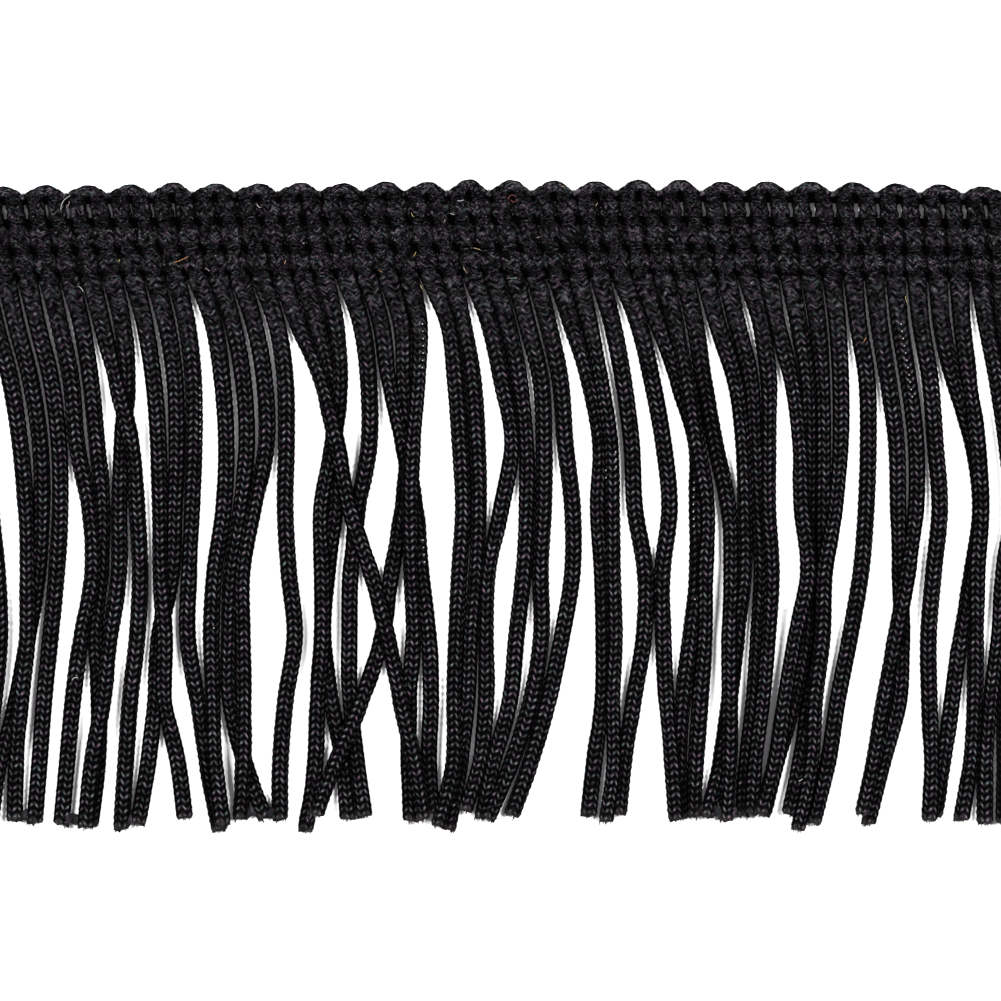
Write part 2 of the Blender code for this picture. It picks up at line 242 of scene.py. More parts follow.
# Rows of stitching: yarns fan out over each cord and gather in the dent between two.
FAN = 7
FAN_STEPS = 12
FAN_HALF = 0.58
FAN_YARN = 0.11
FAN_TOP = 1.74
FAN_SIDES_LOWER = 0.16
FAN_SPREAD = 0.15
FAN_LOFT = 0.06
FAN_CURL = 0.12
FAN_JITTER = 0.05
# Range of the painted highlight on a stitching yarn's top.
FAN_PAINTED_SHINE = (0.1, 0.68)
DENT_LEVEL = 0.45
DENT_SHARE = 0.42
UNDER_LEVEL = 0.36
UNDER_HALF = (0.65, 0.3)
VALLEY_LEVEL = 1.0
VALLEY_RISE = 0.74
VALLEY_LOWER = 0.25
VALLEY_RIGHT = 0.42
VALLEY_LEFT = 0.36
VALLEY_HALF = (0.32, 0.34)

# Loose filaments at a cut end: how many, how near the rim they start, their lengths, stations and radii.
FRAYS = 6
FRAY_STARTS = (0.25, 1.0)
FRAY_LENGTHS = (0.15, 0.6)
FRAY_STATIONS = (-0.3, 0.0, 0.35, 0.7, 1.0)
FRAY_RADII = (0.07, 0.07, 0.06, 0.045, 0.02)

# Cut ends that melted together, by strand number, and half the depth of the bridge between them.
FUSED = ((1, 3), (4, 7), (6, 9), (10, 11), (13, 12), (12, 14), (33, 35), (35, 34), (34, 36))
FUSED_HALF = 0.68
FUSED_RISE = 0.42

# Loose fibres: place, height above the lower edge, length, direction and curl in degrees, level, colour.
LINT_YARN = 0.036
LINT_COLORS = {
    "white": (0.45, 0.42, 0.42),
    "cream": (0.36, 0.27, 0.17),
    "yellow": (0.34, 0.28, 0.08),
    "orange": (0.34, 0.15, 0.06),
    "red": (0.16, 0.035, 0.035),
    "pink": (0.36, 0.24, 0.25),
    "green": (0.16, 0.28, 0.21),
}
LINT = (
    (-54.5, 10.2, 2.3, 62, -75, 1.75, "white"),
    (-54.0, 9.9, 1.0, 60, 60, 1.75, "pink"),
    (-39.9, 3.0, 2.1, 22, 15, 1.70, "orange"),
    (-52.4, -0.6, 1.0, -45, -50, 1.80, "white"),
    (-30.2, 9.7, 0.8, -50, 90, 1.75, "white"),
    (-26.9, 2.7, 0.5, 70, 0, 1.72, "orange"),
    (-36.6, 1.8, 0.6, -40, 0, 1.72, "pink"),
    (-47.6, 2.9, 0.4, 80, 0, 1.72, "yellow"),
    (-24.6, 5.1, 0.3, 0, 0, 1.72, "white"),
    (-11.0, 8.6, 0.6, -60, 30, 1.75, "yellow"),
    (-10.7, 3.7, 0.6, 65, 0, 1.72, "yellow"),
    (-15.0, 1.6, 0.6, -35, 40, 1.72, "orange"),
    (-9.9, -0.4, 0.6, -65, 0, 1.80, "yellow"),
    (-4.4, 1.7, 1.0, -60, 30, 1.72, "cream"),
    (-3.2, 4.4, 1.5, -8, -30, 1.72, "cream"),
    (-5.0, 10.4, 0.9, 5, 25, 1.75, "white"),
    (-6.0, 8.7, 0.6, -15, 0, 1.75, "white"),
    (-7.0, 7.9, 0.9, 70, 60, 1.75, "pink"),
    (1.4, 10.9, 1.4, 185, 170, 1.75, "red"),
    (1.7, 10.4, 1.2, 0, 160, 1.75, "red"),
    (1.6, 0.7, 0.9, 5, -40, 1.75, "green"),
    (4.7, 5.8, 0.4, 20, 0, 1.72, "pink"),
    (12.0, 9.9, 0.5, 60, 0, 1.75, "cream"),
    (7.8, 12.2, 0.3, 0, 0, 1.60, "yellow"),
    (50.7, -2.0, 1.0, -75, 40, 1.55, "yellow"),
    (45.5, -7.0, 0.8, 60, 30, 1.55, "orange"),
    (3.7, -41.9, 0.9, -20, 40, 1.55, "red"),
    (-53.2, -49.3, 1.0, 30, -120, 1.60, "white"),
    (37.5, -62.0, 0.6, 30, 0, 1.60, "white"),
    (-32.2, -55.6, 0.8, -5, 30, 1.60, "white"),
)

# Rows of painted glints, white beads one a stitch: strand, place beside its middle, first and last depth.
SPARKLE_HALF = 0.085
SPARKLE_LIFT = 0.1
SPARKLES = (
    (10, 0.80, 13.0, 19.5), (21, 0.45, 5.0, 11.0), (19, 0.50, 32.0, 35.0), (29, -0.80, 23.3, 24.2),
    (29, 0.50, 21.0, 23.0), (32, -0.40, 23.0, 31.0), (32, 0.0, 39.4, 39.8), (13, 0.30, 38.0, 38.3),
    (11, 0.35, 43.0, 43.3), (44, 0.10, 5.0, 15.0), (44, 0.45, 27.5, 28.0), (45, 0.65, 12.0, 14.5),
)

# Materials: the yarn's grain in cycles per metre, its fibres' depth in metres, the pale of a cut end.
FLECK_GRAIN = 5200.0
FIBRE_GRAIN = 7000.0
FIBRE_DEPTH = 0.00006
PALE = (0.055, 0.05, 0.052, 1)

# Stage: the width in view at the face's level, the view's middle, and how far the floor lies below.
VIEW_WIDTH = 125.125
VIEW_MIDDLE_Y = 0.79
FACE_LEVEL = 1.2
FLOOR_DROP = 0.03


def bow(x):
    """How far the heading's lower edge rises at x."""
    return BOW * (1.0 - (x / BOW_HALF_LENGTH) ** 2)


def slant(x):
    """Sideways lean of the cords inside the heading, per unit of height."""
    share = np.clip((x - SLANT_TURN) / SLANT_TURN_LENGTH, 0.0, 1.0)
    return SLANT_LEFT + (SLANT_RIGHT - SLANT_LEFT) * share


def smooth_curve(knots, values, wanted):
    """Values on a cubic through the given ones, at the wanted places."""
    knots = np.asarray(knots, float)
    values = np.asarray(values, float)
    wanted = np.clip(wanted, knots[0], knots[-1])
    slopes = np.gradient(values, knots)
    slopes[1:-1] = (values[2:] - values[:-2]) / (knots[2:] - knots[:-2])
    index = np.clip(np.searchsorted(knots, wanted) - 1, 0, len(knots) - 2)
    step = knots[index + 1] - knots[index]
    t = (wanted - knots[index]) / step
    start = values[index] * (1 + 2 * t) * (1 - t) ** 2 + slopes[index] * step * t * (1 - t) ** 2
    end = values[index + 1] * t * t * (3 - 2 * t) + slopes[index + 1] * step * t * t * (t - 1)
    return start + end


def soften(values, width):
    """A running mean over an odd number of samples."""
    half = width // 2
    padded = np.pad(values, half, mode="edge")
    return np.convolve(padded, np.ones(width) / width, mode="valid")


# Strands: routes and lifts

LEVEL_DEPTHS = np.arange(-2.0, 69.5, 0.5)


def root_place(strand):
    return FIRST_ROOT + strand * PITCH


def route_row(strand):
    return dict(zip(COLUMNS, ROUTES[strand]))


def strand_top(strand):
    """Depth, above zero, where the strand leaves the heading's lowest row of stitches."""
    return -(ROW_HEIGHTS[0] + bow(root_place(strand)))


def strand_x(strand, depth):
    row = route_row(strand)
    knots = (strand_top(strand),) + STATIONS + (row["tip"] + TIP_SPARE,)
    drift = (row["tip_x"] - row["x60"]) / (row["tip"] - STATIONS[-1]) * TIP_SPARE
    places = (root_place(strand),) + ROUTES[strand][:len(STATIONS)] + (row["tip_x"] + drift,)
    return smooth_curve(knots, places, depth)


def strand_lifts():
    """For each strand at LEVEL_DEPTHS: its underside, the room beside it at its own level, and how far
    higher strands stand over it close beside it, which darkens it as painted shade."""
    places = [strand_x(k, LEVEL_DEPTHS) for k in range(CORDS)]
    order = sorted(range(CORDS), key=lambda k: (route_row(k)["pile"], k))
    lifts = {}
    for upper in order:
        raised = np.zeros(len(LEVEL_DEPTHS))
        for lower, below in lifts.items():
            apart = np.abs(places[upper] - places[lower]) / CLEAR_WIDTH
            present = LEVEL_DEPTHS < route_row(lower)["tip"] + 0.5
            over = below + LEVEL * np.sqrt(np.clip(1.0 - apart ** 2, 0.0, 1.0))
            raised = np.where((apart < 1.0) & present, np.maximum(raised, over), raised)
        reach = raised[None, :] - RAMP * np.abs(LEVEL_DEPTHS[:, None] - LEVEL_DEPTHS[None, :])
        lifts[upper] = soften(reach.max(axis=1), 5)
    rooms = {}
    painted_shades = {}
    for k in range(CORDS):
        room = np.full(len(LEVEL_DEPTHS), NO_NEIGHBOUR)
        painted_shade = np.zeros(len(LEVEL_DEPTHS))
        for other in range(CORDS):
            if other != k:
                apart = np.abs(places[k] - places[other])
                level = np.abs(lifts[k] - lifts[other]) < OWN_LEVEL * LEVEL
                room = np.where(level, np.minimum(room, apart), room)
                # Painted shade: a strand is darker where a higher one lies close beside it.
                over = np.clip((lifts[other] - lifts[k]) / LEVEL, 0.0, 1.0)
                painted_shade = np.maximum(painted_shade, over * np.clip((SHADED_WITHIN - apart) / SHADE_FADE, 0.0, 1.0))
        rooms[k] = soften(room, 5)
        painted_shades[k] = soften(painted_shade, 9)
    return lifts, rooms, painted_shades


# Paths of the cords

def strand_part(strand, lifts, rooms, painted_shades):
    """Samples of one strand from its tip up to the heading's lowest row."""
    row = route_row(strand)
    depth = np.arange(row["tip"] + TIP_SPARE, strand_top(strand), -SAMPLE)
    room = np.interp(depth, LEVEL_DEPTHS, rooms[strand])
    lift = np.interp(depth, LEVEL_DEPTHS, lifts[strand])
    below_root = np.clip(depth, 0.0, None)
    near_root = np.exp(-below_root / ROOT_FADE)
    near_tip = np.exp(-np.abs(row["tip"] - depth) / TIP_FADE)
    loose = LOOSE_YARN * np.exp(-(below_root / LOOSE_DEPTH) ** 1.5)
    spread = UPPER_WIDER * np.exp(-(below_root / UPPER_DEPTH) ** 2) + ROOT_WIDER * near_root
    free = STRAND_HALF + spread + TIP_WIDER * near_tip
    squeezed = np.maximum(room / 2 - NEIGHBOUR_ROOM, STRAND_HALF - MOST_SQUEEZE)
    wide = soften(np.where(room < TOUCHING, squeezed, free), 21)
    wide = wide * (1.0 - CUT_PINCH * np.exp(-np.abs(row["tip"] - depth) / CUT_FADE))
    painted_shade = np.interp(depth, LEVEL_DEPTHS, painted_shades[strand])
    return {
        "x": strand_x(strand, depth),
        "y": ROOT_LINE_Y - depth,
        "z": lift + STRAND_BELOW + ROOT_LIFT * near_root,
        "wide": wide,
        "above": STRAND_ABOVE - TIP_LOWER * near_tip + ROOT_HIGHER * near_root,
        "below": np.full(len(depth), STRAND_BELOW),
        "relief": np.ones(len(depth)),
        "section": ROUND_SECTION + (FULL_SECTION - ROUND_SECTION) * near_root,
        "plain": loose,
        # The tone carries the painted shade from higher strands beside this one.
        "tone": STRAND_TONE - PAINTED_SHADE_TONE * painted_shade - LOOSE_DARKER * loose,
    }


def heading_section(root, height, plump):
    """Half width and rise of a cord at a height in the heading."""
    near_row = np.exp(-(np.min([np.abs(height - h) for h in ROW_HEIGHTS], axis=0) / ROW_REACH) ** 2)
    opened = np.interp(root, OPEN_PLACES, OPEN_SHARES) * np.interp(height, OPEN_HEIGHTS, OPEN_WINDOW)
    full = FULL_HALF - OPEN_NARROWER * opened
    wide = full + (TIGHT_HALF - full) * near_row
    above = FULL_ABOVE * plump + (TIGHT_ABOVE - FULL_ABOVE * plump) * near_row
    return wide, above, near_row


def heading_part(root, rng):
    """Samples of one cord from the lowest row of stitches up to where its picot starts."""
    height = np.arange(ROW_HEIGHTS[0], ARCH_START, SAMPLE)
    plump = 1.0 + PLUMP_SPREAD * rng.standard_normal()
    wide, above, near_row = heading_section(root, height, plump)
    x = root - slant(root) * (height - ROW_HEIGHTS[0])
    x = x + WANDER * np.sin(height * WANDER_RATE + rng.uniform(0, 2 * pi))
    return {
        "x": x,
        "y": ROOT_LINE_Y + height + bow(x),
        "z": np.full(len(height), HEADING_LEVEL),
        "wide": wide,
        "above": above,
        "below": np.full(len(height), HEADING_BELOW),
        "relief": np.full(len(height), HEADING_RELIEF),
        "section": np.full(len(height), FULL_SECTION),
        "plain": np.full(len(height), HEADING_LOOSE),
        # Painted shade: darker near each row of stitches.
        "tone": 1.0 - ROW_PAINTED_SHADE * near_row,
    }


def picot_part(left_root, right_root, rise, skew):
    """Samples of the turn at the top of two cords."""
    turn = np.linspace(0.0, pi, PICOT_STEPS)[1:-1]
    left = left_root - slant(left_root) * (ARCH_START - ROW_HEIGHTS[0])
    right = right_root - slant(right_root) * (ARCH_START - ROW_HEIGHTS[0])
    middle = (left + right) / 2
    half = (right - left) / 2
    bend = np.sin(turn)
    x = middle - half * np.cos(turn) + skew * bend ** LEAN_POWER
    height = ARCH_START + rise * bend ** RISE_POWER
    foot = np.exp(-np.minimum(turn, pi - turn) / FOOT_TURN)
    x = x + np.interp(middle, PINCH_PLACES, PINCHES) * half * np.cos(turn) * (1.0 - foot)
    return {
        "x": x,
        "y": ROOT_LINE_Y + height + bow(middle),
        "z": HEADING_LEVEL + PICOT_LIFT * bend,
        "wide": PICOT_HALF + FOOT_WIDER * foot,
        "above": PICOT_ABOVE - FOOT_LOWER * foot,
        "below": np.full(len(turn), HEADING_BELOW),
        "relief": np.full(len(turn), PICOT_RELIEF),
        "section": FULL_SECTION + (ROUND_SECTION - FULL_SECTION) * bend,
        "plain": HEADING_LOOSE + PICOT_LOOSER * bend,
        "tone": PICOT_TONES[0] + PICOT_TONES[1] * bend ** 0.5,
    }


def backwards(part):
    return {name: values[::-1] for name, values in part.items()}


def join_parts(parts, rng):
    """One path with its running length, side direction and slow twist."""
    path = {name: np.concatenate([part[name] for part in parts]) for name in parts[0]}
    for name in ("wide", "above", "below", "section", "tone"):
        path[name] = soften(path[name], 3)
    step = np.hypot(np.diff(path["x"]), np.diff(path["y"]))
    path["s"] = np.concatenate([[0.0], np.cumsum(step)])
    along_x = soften(np.gradient(path["x"], path["s"]), 5)
    along_y = soften(np.gradient(path["y"], path["s"]), 5)
    size = np.hypot(along_x, along_y)
    path["side_x"] = along_y / size
    path["side_y"] = -along_x / size
    wave = TWIST_SWING * np.sin(path["s"] / rng.uniform(*TWIST_LENGTHS) + rng.uniform(0.0, 2 * pi))
    path["twist"] = rng.uniform(0.0, 2 * pi) + wave
    return path


# Knitted surface

def at(path, name, along):
    return np.interp(along, path["s"], path[name])


def surface(path, along, angle, relief):
    """Points on the cord: a flattened section, round or fuller, raised by the relief."""
    power = at(path, "section", along)
    cos_a = np.cos(angle)
    sin_a = np.sin(angle)
    fill = (np.abs(cos_a) ** power + np.abs(sin_a) ** power) ** (-1.0 / power)
    cos_a = cos_a * fill
    sin_a = sin_a * fill
    wide = at(path, "wide", along)
    tall = np.where(sin_a > 0, at(path, "above", along), at(path, "below", along))
    out_x = cos_a / wide
    out_z = sin_a / tall
    size = np.hypot(out_x, out_z)
    across = wide * cos_a + relief * out_x / size
    x = at(path, "x", along) + at(path, "side_x", along) * across
    y = at(path, "y", along) + at(path, "side_y", along) * across
    z = at(path, "z", along) + tall * sin_a + relief * out_z / size
    return np.stack([x, y, np.maximum(z, 0.0)], axis=-1)


def knit_rings(path, wales, rng):
    """Rings of points that lean with the legs of the stitches, and the look of each point: painted
    highlights on the legs, painted shade in the gaps and on the turned flanks.
    """
    length = path["s"][-1]
    rows = int(round((length - 2 * TIP_SPARE) / STITCH))
    rings = rows * PER_ROW + 1
    ring = np.arange(rings)
    ring_s = np.linspace(TIP_SPARE, length - TIP_SPARE, rings)
    from_end = np.minimum(ring_s - ring_s[0], ring_s[-1] - ring_s)
    around = wales * PER_WALE
    column = np.arange(around)
    part = column % PER_WALE
    lean = np.choose(part, LEANS_ACROSS)
    leg = np.choose(part, RISES_ACROSS)
    ridge = np.choose(ring % PER_ROW, RISES_ALONG)
    keep = np.clip(from_end / (0.6 * STITCH), 0.0, 1.0)
    along = ring_s[:, None] + LEG_LEAN * STITCH * (lean[None, :] - 0.5) * keep[:, None]
    ragged = RAGGED * rng.standard_normal(around)
    tilt = rng.uniform(-CUT_TILT, CUT_TILT, 2) * np.cos(column * 2 * pi / around)[:, None]
    along[0] += ragged + tilt[:, 0]
    along[-1] += np.roll(ragged, 7) + tilt[:, 1]
    angle = column[None, :] * 2 * pi / around + at(path, "twist", along)
    every_leg = rng.random((rows + 1, 2 * wales, 2))
    legs = every_leg[(ring // PER_ROW)[:, None], (column * 2 // PER_WALE)[None, :]]
    crest = leg[None, :] * ridge[:, None]
    flank = np.abs(np.cos(angle))
    relief = LEG_RELIEF * at(path, "relief", along) * crest * (0.8 + 0.4 * legs[..., 0])
    relief = relief * (1.0 - FLANK_FLAT * flank ** 2)
    pale = np.exp(-from_end / PALE_FADE)[:, None] * rng.uniform(0.0, PALE_MOST, crest.shape)
    plain = at(path, "plain", along)
    loose = LOOSE_SHINE * plain * rng.random(crest.shape) ** 1.5
    # Painted light and shade: leg crests lighter, the gaps between stitches darker.
    painted_light_and_tone = loose + (1.0 - plain) * crest * (0.6 + 0.5 * legs[..., 0])
    # Painted shade: flanks turned to the side are darker, as in the grooves between touching strands.
    turned = np.clip((flank - FLANK_FROM) / FLANK_OVER, 0.0, 1.0)
    painted_light_and_tone = painted_light_and_tone * at(path, "tone", along) * (1.0 - FLANK_SHADE * turned)
    looks = np.stack([painted_light_and_tone, legs[..., 1], pale], axis=-1)
    return ring_s, surface(path, along, angle, relief), looks


def tube_faces(rings, around, offset=0):
    """Quads of a tube whose points are stored ring by ring."""
    ring = np.arange(rings - 1)[:, None] * around
    here = np.arange(around)[None, :]
    after = (here + 1) % around
    quads = np.stack([ring + here, ring + after, ring + around + after, ring + around + here], axis=-1)
    return quads.reshape(-1, 4) + offset


def closed_tube(points, looks):
    """A tube with both ends filled: its points, their looks, its quads and its end triangles."""
    rings, around, _ = points.shape
    ends = np.stack([points[0].mean(axis=0), points[-1].mean(axis=0)])
    end_looks = np.stack([looks[0].mean(axis=0), looks[-1].mean(axis=0)])
    here = np.arange(around)
    after = (here + 1) % around
    first = np.stack([after, here, np.full(around, rings * around)], axis=-1)
    base = (rings - 1) * around
    last = np.stack([base + here, base + after, np.full(around, rings * around + 1)], axis=-1)
    return (np.concatenate([points.reshape(-1, 3), ends]), np.concatenate([looks.reshape(-1, 3), end_looks]),
            tube_faces(rings, around), np.concatenate([first, last]))


def make_piece(name, tubes, material):
    """One object from several closed tubes; each point's look goes into its colour attribute."""
    faces = []
    offset = 0
    for points, _, quads, triangles in tubes:
        faces.extend((quads + offset).tolist())
        faces.extend((triangles + offset).tolist())
        offset += len(points)
    mesh = bpy.data.meshes.new(name)
    mesh.from_pydata((np.concatenate([tube[0] for tube in tubes]) * MM).tolist(), [], faces)
    mesh.shade_smooth()
    mesh.materials.append(material)
    looks = np.ones((offset, 4))
    looks[:, :3] = np.concatenate([tube[1] for tube in tubes])
    attribute = mesh.color_attributes.new(name="yarn", type="FLOAT_COLOR", domain="POINT")
    attribute.data.foreach_set("color", looks.ravel())
    mesh.update()
    piece = bpy.data.objects.new(name, mesh)
    bpy.context.scene.collection.objects.link(piece)
    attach(piece, "root")
    return piece


def make_cords(material, gathered):
    """The looped cords: the part in the heading as one piece, the strands in four."""
    lifts, rooms, painted_shades = strand_lifts()
    heading_tubes = []
    strand_tubes = []
    tips = []
    for pair in range(CORDS // 2):
        rng = np.random.default_rng(100 + pair)
        left = 2 * pair
        right = left + 1
        up = heading_part(root_place(left), rng)
        down = backwards(heading_part(root_place(right), rng))
        turn = picot_part(root_place(left), root_place(right), *PICOTS[pair])
        first = strand_part(left, lifts, rooms, painted_shades)
        last = backwards(strand_part(right, lifts, rooms, painted_shades))
        path = join_parts([first, up, turn, down, last], rng)
        ring_s, points, looks = knit_rings(path, STRAND_WALES, rng)
        left_cut = np.searchsorted(ring_s, path["s"][len(first["x"])])
        right_cut = np.searchsorted(ring_s, path["s"][-len(last["x"])])
        strand_tubes.append(closed_tube(points[:left_cut + 1], looks[:left_cut + 1]))
        strand_tubes.append(closed_tube(points[right_cut:], looks[right_cut:]))
        _, full_points, full_looks = knit_rings(path, HEADING_WALES, rng)
        inside = slice(left_cut, right_cut + 1)
        heading_tubes.append(closed_tube(full_points[inside], full_looks[inside]))
        tips.append(points[:2])
        tips.append(points[:-3:-1])
    heading = make_piece("heading_cords", heading_tubes, gathered)
    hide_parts("heading")
    strands = []
    share = CORDS // STRAND_PIECES
    for number in range(STRAND_PIECES):
        tubes = strand_tubes[number * share:number * share + share]
        piece = make_piece(f"strands_{number + 1}", tubes, material)
        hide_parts("strands")
        strands.append(piece)
    return heading, strands, tips, lifts


# Stitching and fibres

def plain_tube(points, half_across, half_up, around, looks):
    """A closed tube along points, with a flattened round section; looks has a row for each point."""
    points = np.asarray(points, float)
    ahead = np.gradient(points, axis=0)
    size = np.hypot(ahead[:, 0], ahead[:, 1])[:, None] + 1e-9
    side = np.stack([ahead[:, 1], -ahead[:, 0]], axis=-1) / size
    forward = ahead / np.linalg.norm(ahead, axis=1)[:, None]
    side = np.concatenate([side, np.zeros((len(points), 1))], axis=1)
    upward = np.cross(side, forward)
    angle = np.arange(around) * 2 * pi / around
    across = np.broadcast_to(half_across, len(points))[:, None, None]
    up = np.broadcast_to(half_up, len(points))[:, None, None]
    rings = points[:, None, :] + side[:, None, :] * across * np.cos(angle)[None, :, None]
    rings = rings + upward[:, None, :] * up * np.sin(angle)[None, :, None]
    rings[..., 2] = np.maximum(rings[..., 2], 0.01)
    return closed_tube(rings, np.repeat(looks[:, None, :], around, axis=1))


def row_places(height, across):
    """Sideways place and plan place of a row of stitches, counted in cords from the left."""
    root = FIRST_ROOT + (across - 0.5) * PITCH
    x = root - slant(root) * (height - ROW_HEIGHTS[0])
    return x, ROOT_LINE_Y + height + bow(x)


def fan_yarn(height, share, rng):
    """One yarn of a row of stitches, with its looks: lofty over each cord, deep between two, with painted
    highlights on top and painted shade in the dent.
    """
    across = np.arange(0, CORDS * FAN_STEPS + 1) / FAN_STEPS
    turn = across - np.floor(across)
    bulge = np.clip((np.sin(pi * turn) - DENT_SHARE) / 0.5, 0.0, 1.0)
    cord = np.floor(across).astype(int) % CORDS
    spread = share + FAN_SPREAD * rng.standard_normal(CORDS)[cord]
    loft = FAN_LOFT * rng.standard_normal(CORDS)[cord]
    curl = FAN_CURL * rng.standard_normal((2, len(across))) * bulge
    x, y = row_places(height, across + FAN_JITTER * rng.standard_normal(len(across)) * bulge)
    y = y + FAN_HALF * spread * bulge ** 0.6 + curl[0]
    rise = (FAN_TOP - DENT_LEVEL) * (1.0 - FAN_SIDES_LOWER * spread ** 2) + loft
    z = DENT_LEVEL + rise * bulge ** 0.55 + curl[1]
    # Painted light and shade: lighter over the cord, dark down in the dent.
    crest = np.clip(1.6 * bulge, 0.0, 1.0) * rng.uniform(*FAN_PAINTED_SHINE, len(across))
    tint = rng.random(CORDS)[cord]
    return np.stack([x, y, z], axis=-1), np.stack([crest, tint, np.zeros(len(across))], axis=-1)


def under_yarn(height):
    """The yarn that runs under the cords of a row and closes its dents from behind, all in painted shade."""
    across = np.arange(0.1, CORDS - 0.09, 0.25)
    x, y = row_places(height, across)
    points = np.stack([x, y, np.full(len(across), UNDER_LEVEL)], axis=-1)
    # Its looks are all zero: the darkest colour, painted shade.
    return plain_tube(points, *UNDER_HALF, 6, np.zeros((len(across), 3)))


def valley_yarn(rng):
    """The yarn that closes the valleys between the picots."""
    across = np.arange(0.0, CORDS + 0.001, 0.0625)
    x, y = row_places(ROW_HEIGHTS[3], across)
    aside = (across + np.interp(x, VALLEY_PLACES, VALLEY_SHIFTS) + 1.0) % 2.0 - 1.0
    climb = np.where(aside > 0.0, aside / VALLEY_RIGHT, -aside / VALLEY_LEFT)
    rise = VALLEY_RISE * np.clip(climb, 0.0, 1.0) ** 1.3
    y = y + np.interp(x, VALLEY_PLACES, VALLEY_FLOORS) + rise + 0.02 * rng.standard_normal(len(across))
    z = VALLEY_LEVEL - VALLEY_LOWER * np.clip(climb - 0.6, 0.0, 1.0)
    crest = rng.uniform(0.0, 0.8, len(across))
    looks = np.stack([crest, rng.random(len(across)), np.zeros(len(across))], axis=-1)
    return plain_tube(np.stack([x, y, z], axis=-1), *VALLEY_HALF, 10, looks)


def make_stitching(material):
    pieces = []
    for number, height in enumerate(ROW_HEIGHTS):
        rng = np.random.default_rng(70 + number)
        tubes = [under_yarn(height)]
        for share in np.linspace(-1.0, 1.0, FAN):
            points, looks = fan_yarn(height, share, rng)
            tubes.append(plain_tube(points, FAN_YARN, FAN_YARN, 4, looks))
        if height == ROW_HEIGHTS[3]:
            tubes.append(valley_yarn(rng))
        piece = make_piece(f"stitching_{number + 1}", tubes, material)
        pieces.append(piece)
    return pieces


def fray(tip, rng):
    """Short loose filaments at a strand's cut end; tip is its last two rings, the end first."""
    outward = tip[0].mean(axis=0) - tip[1].mean(axis=0)
    outward = outward / np.linalg.norm(outward)
    tubes = []
    for _ in range(FRAYS):
        share = rng.uniform(*FRAY_STARTS)
        start = tip[0].mean(axis=0) * (1.0 - share) + tip[0][rng.integers(len(tip[0]))] * share
        lean = outward + np.array([*rng.normal(0.0, 0.35, 2), rng.normal(0.0, 0.15)])
        length = rng.uniform(*FRAY_LENGTHS)
        step = np.array(FRAY_STATIONS)[:, None] * length
        points = start + step * lean
        points[:, :2] += 0.06 * rng.standard_normal((5, 2)) * np.clip(step, 0.0, 1.0)
        points[:, 2] = np.maximum(points[:, 2], 0.08)
        radius = np.array(FRAY_RADII)
        looks = np.tile([rng.uniform(0.3, 1.0), rng.random(), rng.uniform(0.2, 1.0)], (5, 1))
        tubes.append(plain_tube(points, radius, radius, 4, looks))
    return tubes


def make_frayed_ends(tips, material):
    rng = np.random.default_rng(11)
    tubes = [tube for tip in tips for tube in fray(tip, rng)]
    piece = make_piece("frayed_ends", tubes, material)
    return piece


def fuse(first, second, rng):
    """A lumpy bridge of melted yarn between two cut ends; each is a tip as in fray."""
    ends = []
    for tip in (first, second):
        inward = tip[1].mean(axis=0) - tip[0].mean(axis=0)
        ends.append(tip[0].mean(axis=0) + inward / np.linalg.norm(inward) * FUSED_HALF)
    share = np.linspace(0.0, 1.0, 9)[:, None]
    points = ends[0] * (1.0 - share) + ends[1] * share
    points[:, 1] += 0.15 * np.sin(share[:, 0] * pi) + 0.05 * rng.standard_normal(9)
    looks = np.stack([rng.uniform(0.1, 0.7, 9), rng.random(9), rng.uniform(0.0, 0.12, 9)], axis=-1)
    across = FUSED_HALF * (1.0 + 0.08 * rng.standard_normal(9))
    points[:, 2] = np.maximum(points[:, 2], 0.5)
    return plain_tube(points, across, FUSED_RISE, 12, looks)


def make_fused_ends(tips, material):
    rng = np.random.default_rng(23)
    piece = make_piece("fused_ends", [fuse(tips[a], tips[b], rng) for a, b in FUSED], material)
    return piece


def lint_fibre(x, height, length, heading, curl, level, color):
    """A loose fibre on the face: an arc whose middle lies at (x, height) above the lower edge."""
    share = np.linspace(-0.5, 0.5, 9)
    turn = np.radians(heading) + np.radians(curl) * share
    step = length / (len(share) - 1)
    plan = np.stack([np.cumsum(np.cos(turn)), np.cumsum(np.sin(turn))], axis=-1) * step
    plan = plan - plan.mean(axis=0)
    points = np.zeros((9, 3))
    points[:, 0] = x + plan[:, 0]
    points[:, 1] = ROOT_LINE_Y + height + plan[:, 1]
    points[:, 2] = level
    radius = LINT_YARN * np.interp(np.abs(share), (0.0, 0.4, 0.5), (1.0, 0.9, 0.5))
    return plain_tube(points, radius, radius, 6, np.tile(LINT_COLORS[color], (9, 1)))


def sparkle(x, y, z):
    """A tiny round white bead: a painted glint."""
    share = np.linspace(-1.0, 1.0, 7)
    points = np.stack([x + SPARKLE_HALF * share, np.full(7, y), np.full(7, z)], axis=-1)
    radius = SPARKLE_HALF * np.sqrt(np.clip(1.0 - share ** 2, 0.02, 1.0))
    return plain_tube(points, radius, radius, 8, np.tile(LINT_COLORS["white"], (7, 1)))


def make_lint_and_glints(lifts, material):
    tubes = [lint_fibre(*row) for row in LINT]
    # Painted glints: white beads on some strands, one a stitch.
    for strand, side, start, end in SPARKLES:
        for depth in np.arange(start, end + 0.01, STITCH):
            lift = np.interp(depth, LEVEL_DEPTHS, lifts[strand])
            slope = np.sqrt(max(0.0, 1.0 - (side / STRAND_HALF) ** 2))
            z = lift + STRAND_BELOW + STRAND_ABOVE * slope + SPARKLE_LIFT
            tubes.append(sparkle(strand_x(strand, depth) + side, ROOT_LINE_Y - depth, z))
    piece = make_piece("lint_and_glints", tubes, material)
    return piece


# Materials

